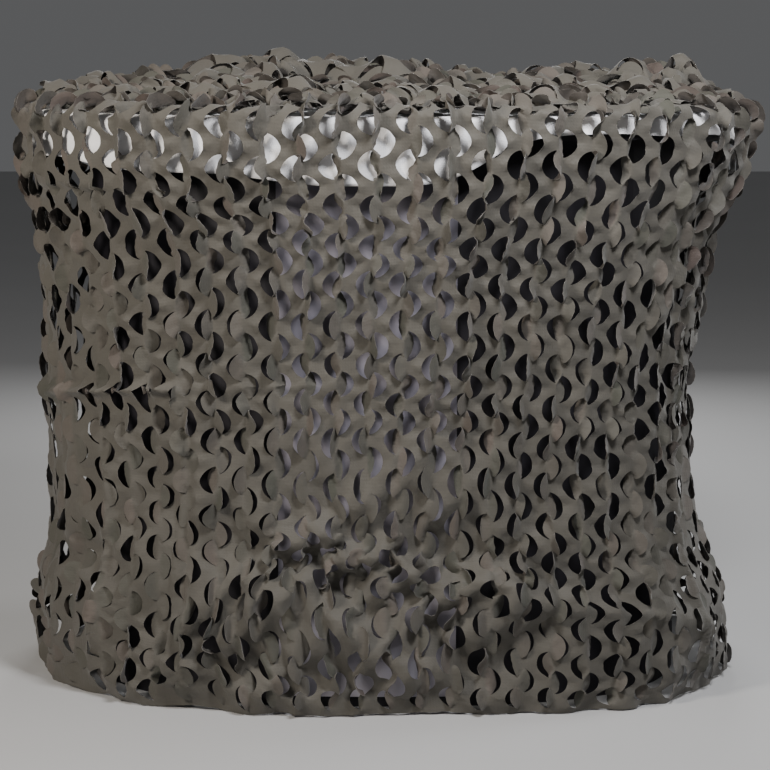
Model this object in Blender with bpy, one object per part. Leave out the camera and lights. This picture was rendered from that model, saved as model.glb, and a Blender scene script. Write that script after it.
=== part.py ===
"""Camouflage net draped over an oval counter, with a white cloth under the net.

Metres, +Z up. The front faces -Y and +X is to the right. The origin is on the floor under the
middle of the net. A bearing is measured round the counter: 0 at the front, +90 degrees at the
right end, -90 degrees at the left end and 180 degrees at the back.
"""

import math

import bmesh
import bpy
import numpy as np

# Counter: an oval body, a wider top board on it, and a panel on the front of the body.
BODY_HALF_WIDTH = 0.565
BODY_HALF_DEPTH = 0.384
BOARD_HALF_WIDTH = 0.662
BOARD_HALF_DEPTH = 0.424
COUNTER_HEIGHT = 1.080
BOARD_THICKNESS = 0.040
BOARD_EDGE_RADIUS = 0.010
COUNTER_EXPONENT = 2.6
COUNTER_SEGMENTS = 72
PANEL_LEFT = -0.195
PANEL_RIGHT = 0.130
PANEL_BOTTOM = 0.020
PANEL_TOP = 1.020
PANEL_THICKNESS = 0.004
PANEL_STEPS = 12
TOUCHING_GAP = 0.0003

# White cloth: it lies on the board and falls over its edge to an uneven hem.
CLOTH_CLEARANCE = 0.0026
CLOTH_THICKNESS = 0.0012
CLOTH_EDGE_STEPS = 3
CLOTH_COLUMNS = 60
CLOTH_WAVE = 0.004
CLOTH_LEAST_DROP = 0.028
CLOTH_DROPS = (  # bearing in degrees, drop of the hem below the top of the cloth
    (-180, 0.085),
    (-120, 0.070),
    (-90, 0.066),
    (-50, 0.075),
    (-20, 0.100),
    (-3, 0.115),
    (5, 0.104),
    (14, 0.050),
    (30, 0.030),
    (50, 0.034),
    (90, 0.072),
    (130, 0.090),
    (180, 0.085),
)

# Net: its middle surface, and how far its solid stands out from that for the curled tongues.
NET_THICKNESS = 0.003
NET_PROUD = 0.006
NET_RIM_HEIGHT = 1.100
NET_RIM_RADIUS = 0.030
NET_EXPONENT_LEFT = 2.3
NET_EXPONENT_RIGHT = 3.0
NET_COLUMNS = 72
NET_RIM_STEPS = 3
NET_TOP_RINGS = (0.93, 0.80, 0.62, 0.42, 0.20)
NET_PROFILE = (  # height, half-width at the left end, half-width at the right end, half-depth
    (0.000, 0.668, 0.656, 0.448),
    (0.050, 0.676, 0.664, 0.456),
    (0.150, 0.677, 0.650, 0.454),
    (0.280, 0.652, 0.608, 0.438),
    (0.400, 0.649, 0.587, 0.429),
    (0.600, 0.660, 0.587, 0.426),
    (0.730, 0.656, 0.602, 0.430),
    (0.850, 0.667, 0.622, 0.438),
    (0.960, 0.688, 0.670, 0.450),
    (1.070, 0.694, 0.694, 0.456),
)
NET_ROWS = (
    0.0, 0.05, 0.11, 0.17, 0.22, 0.28, 0.34, 0.40, 0.46,
    0.51, 0.545, 0.57, 0.61, 0.66, 0.73, 0.80, 0.88, 0.97, 1.07,
)
NET_FOLDS = (  # start bearing, start height, end bearing, end height, how proud, half-width
    (-128, 0.540, -78, 0.550, 0.017, 0.020),
    (-78, 0.550, -28, 0.600, 0.016, 0.018),
    (-28, 0.600, 6, 0.612, 0.006, 0.022),
    (16, 0.215, 62, 0.130, 0.012, 0.030),
    (-27, 0.050, -26, 0.540, 0.010, 0.030),
    (-70, 0.020, -62, 0.430, 0.010, 0.045),
    (-8, 0.030, -14, 0.330, 0.012, 0.035),
    (9, 0.020, 5, 0.260, -0.010, 0.035),
    (34, 0.000, 40, 0.220, 0.012, 0.040),
    (58, 0.900, 66, 0.300, -0.010, 0.050),
    (-160, 0.020, -166, 0.700, 0.012, 0.045),
    (150, 0.010, 144, 0.500, 0.012, 0.050),
    (176, 0.300, 128, 0.330, 0.010, 0.025),
)
NET_HUMPS = (  # right of the middle, behind the middle, rise above the rim, half-width
    (-0.32, 0.10, 0.054, 0.16),
    (-0.10, 0.20, 0.038, 0.14),
    (0.04, 0.06, 0.036, 0.10),
    (-0.52, 0.00, 0.026, 0.12),
    (-0.20, -0.22, 0.018, 0.12),
    (0.32, 0.12, 0.038, 0.13),
    (0.53, 0.02, 0.044, 0.11),
    (0.26, -0.20, 0.016, 0.10),
)
NET_TOP_LIFT = 0.010


def clear_scene():
    """Remove whatever objects the file opened with."""
    for item in list(bpy.data.objects):
        bpy.data.objects.remove(item, do_unlink=True)


def smooth_table(value, table, column):
    """Read one column of a table as a smooth curve through its rows."""
    keys = np.array([row[0] for row in table], float)
    values = np.array([row[column] for row in table], float)
    slopes = np.gradient(values, keys)
    value = np.clip(value, keys[0], keys[-1])
    row = np.clip(np.searchsorted(keys, value, side="right") - 1, 0, len(keys) - 2)
    span = keys[row + 1] - keys[row]
    t = (value - keys[row]) / span
    rise = values[row + 1] - values[row]
    bend = (1 - t) * (slopes[row] * span - rise) - t * (slopes[row + 1] * span - rise)
    return values[row] + t * rise + t * (1 - t) * bend


def oval(bearing, half_width, half_depth, exponent):
    """Point of a superellipse at a bearing in radians."""
    across, along = np.sin(bearing), -np.cos(bearing)
    x = half_width * np.sign(across) * np.abs(across) ** (2 / exponent)
    y = half_depth * np.sign(along) * np.abs(along) ** (2 / exponent)
    return x, y


def ring_bearings(count):
    """Bearings that share the counter's edge out evenly, starting at the back."""
    fine = np.linspace(-math.pi, math.pi, 4001)
    x, y = oval(fine, BOARD_HALF_WIDTH, BOARD_HALF_DEPTH, COUNTER_EXPONENT)
    length = np.concatenate([[0], np.cumsum(np.hypot(np.diff(x), np.diff(y)))])
    return np.interp(np.arange(count) / count * length[-1], length, fine)


def fold_height(bearing, height):
    """How far the folds of the net lift it out of its smooth drape."""
    lift = np.zeros(np.broadcast(bearing, height).shape)
    for start, start_height, end, end_height, proud, half_width in NET_FOLDS:
        radius = 0.5 * (NET_PROFILE[5][1] + NET_PROFILE[5][3])
        run = np.array([math.radians(end - start) * radius, end_height - start_height])
        length = math.hypot(*run)
        run /= length
        turn = (bearing - math.radians(start) + math.pi) % (2 * math.pi) - math.pi
        along = turn * radius * run[0] + (height - start_height) * run[1]
        aside = turn * radius * run[1] - (height - start_height) * run[0]
        beyond = np.maximum(np.maximum(-along, along - length), 0)
        lift = lift + proud * np.exp(-((aside / half_width) ** 2) - (beyond / (2 * half_width)) ** 2)
    return lift


def net_plan(bearing, height):
    """Plan point of the net's smooth drape at a height of its skirt."""
    right = 0.5 + 0.5 * np.sin(bearing)
    left_width = smooth_table(height, NET_PROFILE, 1)
    right_width = smooth_table(height, NET_PROFILE, 2)
    half_depth = smooth_table(height, NET_PROFILE, 3)
    half_width = left_width + (right_width - left_width) * right
    exponent = NET_EXPONENT_LEFT + (NET_EXPONENT_RIGHT - NET_EXPONENT_LEFT) * right
    return oval(bearing, half_width, half_depth, exponent)


def net_hump(x, y):
    """Rise of the crumpled net above its rim, over the counter's top."""
    rise = np.zeros(np.shape(x))
    for hump_x, hump_y, height, half_width in NET_HUMPS:
        away = ((x - hump_x) ** 2 + (y - hump_y) ** 2) / half_width**2
        rise = rise + height * np.exp(-away)
    return rise


def net_rings(bearing):
    """Rings of the net's middle surface, from the hem up, over the rim and in to the middle."""
    rings = []
    foot = NET_PROFILE[-1][0]
    for height in NET_ROWS:
        x, y = net_plan(bearing, height)
        lift = fold_height(bearing, height) * min(1, (foot - height) / NET_RIM_RADIUS)
        reach = 1 + lift / np.hypot(x, y)
        rings.append(np.stack([x * reach, y * reach, np.full_like(x, height)], axis=1))
    x, y = net_plan(bearing, foot)
    inset = NET_RIM_RADIUS / np.hypot(x, y)
    for step in range(1, NET_RIM_STEPS + 1):
        turn = 0.5 * math.pi * step / NET_RIM_STEPS
        reach = 1 - inset * (1 - math.cos(turn))
        height = np.full_like(x, foot + NET_RIM_RADIUS * math.sin(turn))
        rings.append(np.stack([x * reach, y * reach, height], axis=1))
    for share in NET_TOP_RINGS:
        reach = (1 - inset) * share
        rise = (net_hump(x * reach, y * reach) + NET_TOP_LIFT) * (1 - share**6)
        rings.append(np.stack([x * reach, y * reach, NET_RIM_HEIGHT + rise], axis=1))
    return np.array(rings)


def ring_normals(rings):
    """Outward unit normal at each point of a stack of closed rings."""
    around = np.roll(rings, -1, axis=1) - np.roll(rings, 1, axis=1)
    upward = np.gradient(rings, axis=0)
    normal = np.cross(around, upward)
    return normal / np.linalg.norm(normal, axis=2, keepdims=True)


def shell(name, outer, inner, outer_middle, inner_middle):
    """Closed thin shell between two stacks of rings, joined at the hem and capped in the middle."""
    count = outer.shape[1]
    mesh = bmesh.new()

    def add_skin(rings, middle):
        skin = [[mesh.verts.new(point) for point in ring] for ring in rings]
        return skin, mesh.verts.new(middle)

    def join_rings(low, high, flip):
        for i in range(count):
            j = (i + 1) % count
            corners = [low[i], low[j], high[j], high[i]]
            for triangle in (corners[:3], [corners[0], corners[2], corners[3]]):
                mesh.faces.new(triangle[::-1] if flip else triangle)

    outer_skin, outer_centre = add_skin(outer, outer_middle)
    inner_skin, inner_centre = add_skin(inner, inner_middle)
    for skin, centre, flip in ((outer_skin, outer_centre, False), (inner_skin, inner_centre, True)):
        for low, high in zip(skin, skin[1:]):
            join_rings(low, high, flip)
        for i in range(count):
            corners = [skin[-1][i], skin[-1][(i + 1) % count], centre]
            mesh.faces.new(corners[::-1] if flip else corners)
    join_rings(inner_skin[0], outer_skin[0], False)
    data = bpy.data.meshes.new(name)
    mesh.to_mesh(data)
    mesh.free()
    data.shade_smooth()
    return bpy.data.objects.new(name, data)


def make_net():
    """The net: one thin shell over the whole counter, with its hem on the floor."""
    rings = net_rings(ring_bearings(NET_COLUMNS))
    normals = ring_normals(rings)
    outer = rings + NET_PROUD * normals
    inner = rings + (NET_PROUD - NET_THICKNESS) * normals
    outer[0, :, 2] = inner[0, :, 2] = 0
    middle = NET_RIM_HEIGHT + float(net_hump(0.0, 0.0)) + NET_TOP_LIFT
    box = 0.5 * (outer.min(axis=(0, 1)) + outer.max(axis=(0, 1)))
    for skin in (outer, inner):
        skin[:, :, :2] -= box[:2]
    return shell(
        "camo_net",
        outer,
        inner,
        (-box[0], -box[1], middle + NET_PROUD),
        (-box[0], -box[1], middle + NET_PROUD - NET_THICKNESS),
    )


def make_top_cloth():
    """The white cloth: flat on the board, bent over its edge, and hanging to an uneven hem."""
    bearing = ring_bearings(CLOTH_COLUMNS)
    drop = smooth_table(np.degrees(bearing), CLOTH_DROPS, 1) + 0.004 * np.sin(9 * bearing + 1.0)
    drop = np.maximum(drop, CLOTH_LEAST_DROP)
    foot = COUNTER_HEIGHT - BOARD_EDGE_RADIUS
    skins = []
    for offset in (CLOTH_CLEARANCE + CLOTH_THICKNESS, CLOTH_CLEARANCE):
        x, y = oval(bearing, BOARD_HALF_WIDTH + offset, BOARD_HALF_DEPTH + offset, COUNTER_EXPONENT)
        radius = BOARD_EDGE_RADIUS + offset
        inset = radius / np.hypot(x, y)
        rings = []
        for share in (1.0, 0.66, 0.33):
            wave = CLOTH_WAVE * share * (1 + np.sin(13 * bearing + 2 * np.sin(3 * bearing)))
            reach = 1 + wave / np.hypot(x, y)
            fall = (drop - BOARD_EDGE_RADIUS) * share
            rings.append(np.stack([x * reach, y * reach, foot - fall], axis=1))
        for step in range(CLOTH_EDGE_STEPS + 1):
            turn = 0.5 * math.pi * step / CLOTH_EDGE_STEPS
            reach = 1 - inset * (1 - math.cos(turn))
            height = np.full_like(x, foot + radius * math.sin(turn))
            rings.append(np.stack([x * reach, y * reach, height], axis=1))
        skins.append(np.array(rings))
    top = COUNTER_HEIGHT + CLOTH_CLEARANCE
    return shell("top_cloth", *skins, (0, 0, top + CLOTH_THICKNESS), (0, 0, top))


def prism(name, outline, bottom, top, edge_radius=0.0):
    """Upright prism over a closed outline, with its upper edge rounded where a radius is given."""
    mesh = bmesh.new()
    base = mesh.faces.new([mesh.verts.new((x, y, bottom)) for x, y in outline])
    raised = bmesh.ops.extrude_face_region(mesh, geom=[base])
    corners = [item for item in raised["geom"] if isinstance(item, bmesh.types.BMVert)]
    bmesh.ops.translate(mesh, verts=corners, vec=(0, 0, top - bottom))
    bmesh.ops.recalc_face_normals(mesh, faces=mesh.faces)
    if edge_radius:
        upper = [edge for edge in mesh.edges if all(corner.co.z > bottom + edge_radius for corner in edge.verts)]
        bmesh.ops.bevel(mesh, geom=upper, offset=edge_radius, segments=3, profile=0.5, affect="EDGES")
    data = bpy.data.meshes.new(name)
    mesh.to_mesh(data)
    mesh.free()
    return bpy.data.objects.new(name, data)


def make_counter_body():
    """The oval body that stands on the floor."""
    x, y = oval(ring_bearings(COUNTER_SEGMENTS), BODY_HALF_WIDTH, BODY_HALF_DEPTH, COUNTER_EXPONENT)
    top = COUNTER_HEIGHT - BOARD_THICKNESS - TOUCHING_GAP
    return prism("counter_body", list(zip(x, y)), 0, top)


def make_counter_top():
    """The oval board on the body."""
    x, y = oval(ring_bearings(COUNTER_SEGMENTS), BOARD_HALF_WIDTH, BOARD_HALF_DEPTH, COUNTER_EXPONENT)
    bottom = COUNTER_HEIGHT - BOARD_THICKNESS
    return prism("counter_top", list(zip(x, y)), bottom, COUNTER_HEIGHT, BOARD_EDGE_RADIUS)


def make_front_panel():
    """The thin panel that is bent round the front of the body."""
    x = np.linspace(PANEL_LEFT, PANEL_RIGHT, PANEL_STEPS + 1)
    inside = 1 - (np.abs(x) / BODY_HALF_WIDTH) ** COUNTER_EXPONENT
    front = -BODY_HALF_DEPTH * inside ** (1 / COUNTER_EXPONENT) - TOUCHING_GAP
    outline = list(zip(x, front)) + list(zip(x[::-1], front[::-1] - PANEL_THICKNESS))
    return prism("front_panel", outline, PANEL_BOTTOM, PANEL_TOP)


def plain_material(name, colour, roughness):
    """Principled material of one colour."""
    material = bpy.data.materials.new(name)
    material.use_nodes = True
    shader = material.node_tree.nodes["Principled BSDF"]
    shader.inputs["Base Color"].default_value = (*colour, 1)
    shader.inputs["Roughness"].default_value = roughness
    shader.inputs["Metallic"].default_value = 0
    return material


def main():
    clear_scene()
    parts = (
        (make_counter_body, "body_black", (0.010, 0.009, 0.012), 0.7),
        (make_counter_top, "board_black", (0.014, 0.013, 0.016), 0.6),
        (make_front_panel, "panel_grey", (0.110, 0.105, 0.122), 0.55),
        (make_top_cloth, "cloth_white", (0.800, 0.790, 0.780), 0.8),
        (make_net, "net_taupe", (0.200, 0.180, 0.145), 0.75),
    )
    for make, finish, colour, roughness in parts:
        item = make()
        item.data.materials.append(plain_material(finish, colour, roughness))
        bpy.context.scene.collection.objects.link(item)


main()
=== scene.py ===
import math

import bpy
import numpy as np
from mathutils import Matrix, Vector
from mathutils.geometry import delaunay_2d_cdt


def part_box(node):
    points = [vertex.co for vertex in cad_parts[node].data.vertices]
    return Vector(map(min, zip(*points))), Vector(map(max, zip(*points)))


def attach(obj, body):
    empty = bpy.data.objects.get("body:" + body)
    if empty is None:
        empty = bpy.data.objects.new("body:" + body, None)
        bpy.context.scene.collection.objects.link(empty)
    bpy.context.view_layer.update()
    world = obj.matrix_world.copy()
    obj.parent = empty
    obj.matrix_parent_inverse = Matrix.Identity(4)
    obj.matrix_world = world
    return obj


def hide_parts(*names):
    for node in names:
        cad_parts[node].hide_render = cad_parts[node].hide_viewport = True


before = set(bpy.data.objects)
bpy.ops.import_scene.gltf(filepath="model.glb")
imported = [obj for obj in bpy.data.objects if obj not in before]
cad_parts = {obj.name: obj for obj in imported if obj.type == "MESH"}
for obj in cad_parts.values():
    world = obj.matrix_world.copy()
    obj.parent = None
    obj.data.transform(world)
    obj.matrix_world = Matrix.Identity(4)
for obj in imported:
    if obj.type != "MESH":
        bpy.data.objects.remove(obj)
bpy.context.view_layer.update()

# ---------------------------------------------------------------------------------------------
# Counter body. The oval body that stands on the floor under the net: sheet material bent round a
# frame and faced with a matt black laminate. Its seams and frame are hidden, so it stays plain.
# ---------------------------------------------------------------------------------------------


class Signal:
    """A node's output, wrapped so that sums and products on it add Math nodes."""

    def __init__(self, finish, socket):
        self.finish = finish
        self.socket = socket

    def maths(self, operation, first, second):
        return self.finish.node("ShaderNodeMath", {"operation": operation}, {0: first, 1: second})

    def __add__(self, other):
        return self.maths("ADD", self, other)

    def __sub__(self, other):
        return self.maths("SUBTRACT", self, other)

    def __rsub__(self, other):
        return self.maths("SUBTRACT", other, self)

    def __mul__(self, other):
        return self.maths("MULTIPLY", self, other)

    def __truediv__(self, other):
        return self.maths("DIVIDE", self, other)

    def __rtruediv__(self, other):
        return self.maths("DIVIDE", other, self)

    __radd__ = __add__
    __rmul__ = __mul__


class Finish:
    """The material of one real finish, with its constant values on the shader's own sockets."""

    def __init__(self, name, **constants):
        self.material = bpy.data.materials.new(name)
        self.material.use_nodes = True
        self.tree = self.material.node_tree
        self.shader = self.tree.nodes["Principled BSDF"]
        for socket, value in constants.items():
            self.shader.inputs[socket.replace("_", " ")].default_value = value

    def node(self, kind, settings=None, inputs=None, output=0):
        """Add a node: its settings are set first, then the values or links of its sockets."""
        node = self.tree.nodes.new(kind)
        for setting, value in (settings or {}).items():
            if setting == "stops":
                ramp = node.color_ramp.elements
                while len(ramp) < len(value):
                    ramp.new(1.0)
                for stop, (place, colour) in zip(ramp, value):
                    stop.position = place
                    stop.color = (*colour, 1)
            else:
                setattr(node, setting, value)
        for socket, value in (inputs or {}).items():
            if isinstance(value, Signal):
                self.tree.links.new(value.socket, node.inputs[socket])
            else:
                node.inputs[socket].default_value = value
        return Signal(self, node.outputs[output])

    def mix(self, factor, first, second):
        """Blend two colours."""
        sockets = {0: factor, 6: first, 7: second}
        return self.node("ShaderNodeMix", {"data_type": "RGBA"}, sockets, output=2)

    def place(self):
        """Position on the object in metres."""
        return self.node("ShaderNodeNewGeometry", output="Position")

    def noise(self, scale, detail=3.0):
        """Cloudy value from 0 to 1, at so many clouds to a metre."""
        sockets = {"Vector": self.place(), "Scale": scale, "Detail": detail, "Roughness": 0.55}
        return self.node("ShaderNodeTexNoise", {"noise_dimensions": "3D"}, sockets)

    def bump(self, height, distance, strength=1.0, under=None):
        """Normal of a surface with this height on it."""
        sockets = {"Height": height, "Distance": distance, "Strength": strength}
        if under is not None:
            sockets["Normal"] = under
        return self.node("ShaderNodeBump", {}, sockets)

    def feed(self, **signals):
        """Link what changes over the surface to the shader."""
        for socket, signal in signals.items():
            self.tree.links.new(signal.socket, self.shader.inputs[socket.replace("_", " ")])
        return self.material


def laminate(name, dark, light, roughness):
    """Matt laminate with a faint orange peel and dull patches where it has been wiped."""
    finish = Finish(name, Metallic=0.0)
    cloud = finish.noise(9.0)
    colour = finish.mix(cloud, (*dark, 1), (*light, 1))
    peel = finish.noise(900.0, detail=1.0)
    return finish.feed(
        Base_Color=colour,
        Roughness=cloud * 0.16 + (roughness - 0.08),
        Normal=finish.bump(peel, 0.0002),
    )


def dress(node, material):
    """Give a carried-over solid its finished material."""
    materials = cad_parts[node].data.materials
    materials.clear()
    materials.append(material)


body_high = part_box("counter_body")[1]
dress("counter_body", laminate("black_laminate", (0.006, 0.005, 0.008), (0.012, 0.010, 0.015), 0.62))

# ---------------------------------------------------------------------------------------------
# Counter top. The oval board on the body, wider than it, with rounded upper edges. Everything
# that is draped falls over its edge.
# ---------------------------------------------------------------------------------------------

dress("counter_top", laminate("board_laminate", (0.010, 0.009, 0.012), (0.018, 0.016, 0.020), 0.55))
board_low, board_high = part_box("counter_top")

# ---------------------------------------------------------------------------------------------
# Front panel. A thin matt grey sheet bent round the front of the body. Its colour carries painted
# light: painted shade makes it darkest under the board, and painted floor light makes it paler
# towards the floor and palest at its foot. Cloudy duller patches vary its grey.
# ---------------------------------------------------------------------------------------------

# Painted light on the panel: shade under the board at the top, light from the floor at the foot.
PANEL_PAINTED_SHADING = (  # share of the height from the floor, colour
    (0.00, (0.46, 0.44, 0.50)),
    (0.06, (0.33, 0.315, 0.36)),
    (0.35, (0.26, 0.245, 0.285)),
    (1.00, (0.21, 0.20, 0.235)),
)
PANEL_DULL = (0.18, 0.17, 0.20, 1)
panel_low, panel_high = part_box("front_panel")


def panel_grey():
    """Grey sheet with painted light: painted shade at the top under the board, lifting to painted floor
    light at its foot.
    """
    finish = Finish("panel_grey", Metallic=0.0, Specular_IOR_Level=0.3)
    height = finish.node("ShaderNodeSeparateXYZ", {}, {"Vector": finish.place()}, output="Z")
    span = panel_high[2] - panel_low[2]
    share = (height - panel_low[2]) / span
    base = finish.node("ShaderNodeValToRGB", {"stops": PANEL_PAINTED_SHADING}, {"Fac": share})
    cloud = finish.noise(14.0)
    colour = finish.mix(cloud * 0.25, base, PANEL_DULL)
    grain = finish.noise(1200.0, detail=1.0)
    return finish.feed(
        Base_Color=colour,
        Roughness=cloud * 0.2 + 0.45,
        Normal=finish.bump(grain, 0.00015),
    )


dress("front_panel", panel_grey())

# ---------------------------------------------------------------------------------------------
# White cloth. One plain cotton cloth laid over the board. It bends over the rounded edge and
# hangs to an uneven hem, lowest over the front panel and shortest to the right of it.
# ---------------------------------------------------------------------------------------------

CLOTH_THICKNESS = 0.0012
CLOTH_CLEARANCE = 0.0026
CLOTH_EDGE_RADIUS = 0.010
CLOTH_COLUMNS = 420
CLOTH_HANG_ROWS = 16
CLOTH_EDGE_ROWS = 7
CLOTH_TOP_ROWS = 26
CLOTH_HEM_WAVE = 0.004
CLOTH_WAVE = 0.004
CLOTH_RIPPLE = 0.0015
CLOTH_CREASE = 0.0018
CLOTH_CREASE_SIZE = 0.16
CLOTH_LEAST_DROP = 0.028
CLOTH_DROPS = (  # bearing in degrees, drop of the hem below the top of the cloth
    (-180, 0.085),
    (-120, 0.072),
    (-90, 0.074),
    (-50, 0.084),
    (-20, 0.100),
    (-3, 0.115),
    (5, 0.104),
    (14, 0.050),
    (30, 0.030),
    (50, 0.034),
    (90, 0.072),
    (130, 0.090),
    (180, 0.085),
)
COUNTER_EXPONENT = 2.6
OVAL_SHARE = 0.86


def smooth_table(value, table, column):
    """Read one column of a table as a smooth curve through its rows."""
    keys = np.array([row[0] for row in table], float)
    values = np.array([row[column] for row in table], float)
    slopes = np.gradient(values, keys)
    value = np.clip(value, keys[0], keys[-1])
    row = np.clip(np.searchsorted(keys, value, side="right") - 1, 0, len(keys) - 2)
    span = keys[row + 1] - keys[row]
    t = (value - keys[row]) / span
    rise = values[row + 1] - values[row]
    bend = (1 - t) * (slopes[row] * span - rise) - t * (slopes[row + 1] * span - rise)
    return values[row] + t * rise + t * (1 - t) * bend


def oval(bearing, half_width, half_depth, exponent):
    """Point of a superellipse at a bearing: 0 at the front, a quarter turn at the right end."""
    across, along = np.sin(bearing), -np.cos(bearing)
    x = half_width * np.sign(across) * np.abs(across) ** (2 / exponent)
    y = half_depth * np.sign(along) * np.abs(along) ** (2 / exponent)
    return x, y


def soft_waves(points, size, count, seed):
    """Smooth random field from -1 to 1 with waves of about this size, over points in metres."""
    rng = np.random.default_rng(seed)
    points = np.asarray(points, float)
    total = np.zeros(points.shape[0])
    for _ in range(count):
        way = rng.normal(size=points.shape[1])
        way *= 2 * math.pi / (size * rng.uniform(0.7, 1.6)) / np.linalg.norm(way)
        total += np.sin(points @ way + rng.uniform(0, 2 * math.pi))
    return total / math.sqrt(count)


def new_piece(name, points, faces, materials, flat_uv=None):
    """Make a smooth-shaded object, with its flat cloth coordinates in metres as a UV map."""
    mesh = bpy.data.meshes.new(name)
    mesh.from_pydata(np.asarray(points).tolist(), [], list(faces))
    for material in materials:
        mesh.materials.append(material)
    if flat_uv is not None:
        corners = np.empty(len(mesh.loops), int)
        mesh.loops.foreach_get("vertex_index", corners)
        mesh.uv_layers.new(name="flat").data.foreach_set("uv", flat_uv[corners].ravel())
    mesh.shade_smooth()
    piece = bpy.data.objects.new(name, mesh)
    bpy.context.scene.collection.objects.link(piece)
    return piece


def thicken(piece, thickness):
    """Give a sheet its thickness, half of it to each side."""
    solid = piece.modifiers.new("thickness", "SOLIDIFY")
    solid.thickness = thickness
    solid.offset = 0.0


def weave(finish, threads_per_metre):
    """Plain weave over the flat coordinates of the cloth, from 0 to 1."""
    flat = finish.node("ShaderNodeUVMap", {"uv_map": "flat"})
    ways = [
        finish.node(
            "ShaderNodeTexWave",
            {"wave_type": "BANDS", "bands_direction": way, "wave_profile": "SIN"},
            {"Vector": flat, "Scale": threads_per_metre / 20, "Distortion": 0.4, "Detail": 1.0},
        )
        for way in ("X", "Y")
    ]
    return ways[0] * ways[1]


def white_cotton():
    """Bleached cotton with a fine weave, faint creases and a slight greyness in cloudy patches."""
    finish = Finish("white_cotton", Metallic=0.0, Sheen_Weight=0.2, Sheen_Roughness=0.5)
    cloud = finish.noise(16.0)
    colour = finish.mix(cloud, (0.86, 0.855, 0.87, 1), (0.92, 0.92, 0.93, 1))
    crease = finish.noise(38.0, detail=2.0)
    relief = finish.bump(crease, 0.004, 0.5)
    relief = finish.bump(weave(finish, 1600.0), 0.0003, 0.6, relief)
    return finish.feed(Base_Color=colour, Roughness=cloud * 0.1 + 0.75, Normal=relief)


def make_top_cloth():
    """The cloth as rings from its hem up, over the board's edge and in to the middle."""
    bearing = np.arange(CLOTH_COLUMNS) / CLOTH_COLUMNS * 2 * math.pi - math.pi
    drop = smooth_table(np.degrees(bearing), CLOTH_DROPS, 1)
    drop = drop + CLOTH_HEM_WAVE * np.sin(9 * bearing + 1.0)
    drop = np.maximum(drop, CLOTH_LEAST_DROP)
    offset = CLOTH_CLEARANCE + 0.5 * CLOTH_THICKNESS
    radius = CLOTH_EDGE_RADIUS + offset
    x, y = oval(bearing, board_high[0] + offset, board_high[1] + offset, COUNTER_EXPONENT)
    foot = board_high[2] - CLOTH_EDGE_RADIUS
    inset = radius / np.hypot(x, y)
    rings = []
    for share in np.linspace(1, 0, CLOTH_HANG_ROWS, endpoint=False):
        wave = CLOTH_WAVE * share * (1 + np.sin(13 * bearing + 2 * np.sin(3 * bearing)))
        wave += CLOTH_RIPPLE * share * (1 + np.sin(31 * bearing + 3 * np.sin(5 * bearing)))
        reach = 1 + wave / np.hypot(x, y)
        rings.append((x * reach, y * reach, foot - (drop - CLOTH_EDGE_RADIUS) * share))
    for turn in np.linspace(0, 0.5 * math.pi, CLOTH_EDGE_ROWS):
        reach = 1 - inset * (1 - math.cos(turn))
        rings.append((x * reach, y * reach, np.full_like(x, foot + radius * math.sin(turn))))
    for share in np.linspace(1, 0, CLOTH_TOP_ROWS)[1:-1]:
        flat_x, flat_y = x * (1 - inset) * share, y * (1 - inset) * share
        crease = soft_waves(np.stack([flat_x, flat_y], axis=1), CLOTH_CREASE_SIZE, 9, 4)
        lift = CLOTH_CREASE * np.maximum(crease, 0) * math.sin(math.pi * share)
        rings.append((flat_x, flat_y, board_high[2] + offset + lift))
    points = np.array([np.stack(ring, axis=1) for ring in rings]).reshape(-1, 3)
    points = np.vstack([points, [(0, 0, board_high[2] + offset)]])
    around = np.arange(CLOTH_COLUMNS)
    faces = []
    for row in range(len(rings) - 1):
        low, high = row * CLOTH_COLUMNS, (row + 1) * CLOTH_COLUMNS
        after = (around + 1) % CLOTH_COLUMNS
        faces += np.stack([low + around, low + after, high + after, high + around], axis=1).tolist()
    last = (len(rings) - 1) * CLOTH_COLUMNS
    middle = len(points) - 1
    faces += [[last + i, last + (i + 1) % CLOTH_COLUMNS, middle] for i in range(CLOTH_COLUMNS)]
    mean_drop = float(drop.mean())
    stretch = 1 + (board_high[2] - points[:, 2]) / np.hypot(points[:, 0], points[:, 1]).clip(0.1)
    flat_uv = points[:, :2] * stretch[:, None]
    cloth = new_piece("white_cloth", points, faces, [white_cotton()], flat_uv)
    thicken(cloth, CLOTH_THICKNESS)
    return cloth, mean_drop


white_cloth, mean_drop = make_top_cloth()
cut_width = 2 * (board_high[0] + mean_drop)
cut_depth = 2 * (board_high[1] + mean_drop)
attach(white_cloth, "root")
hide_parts("top_cloth")
OVAL_SHARE * cut_width * cut_depth

# ---------------------------------------------------------------------------------------------
# Camouflage net, its sheet. Garnish cloth, taupe on its face and browner on its back, in which a
# die has cut C shapes. Each C leaves a half-round tongue that hangs on by its straight root, and
# columns that face left and right take turns, half a pitch apart.
# ---------------------------------------------------------------------------------------------

CELL_WIDTH = 0.060
CELL_HEIGHT = 0.078
CUT_RADIUS = 0.0283
CUT_HALF_ANGLE = math.radians(82)
CUT_STEPS = 14
MESH_SIZE = 0.0074
MESH_ROW = 0.866
TONGUE_RING = 0.80
OUTER_RING = 1.17
LATTICE = 8
PATCH = 8


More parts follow.
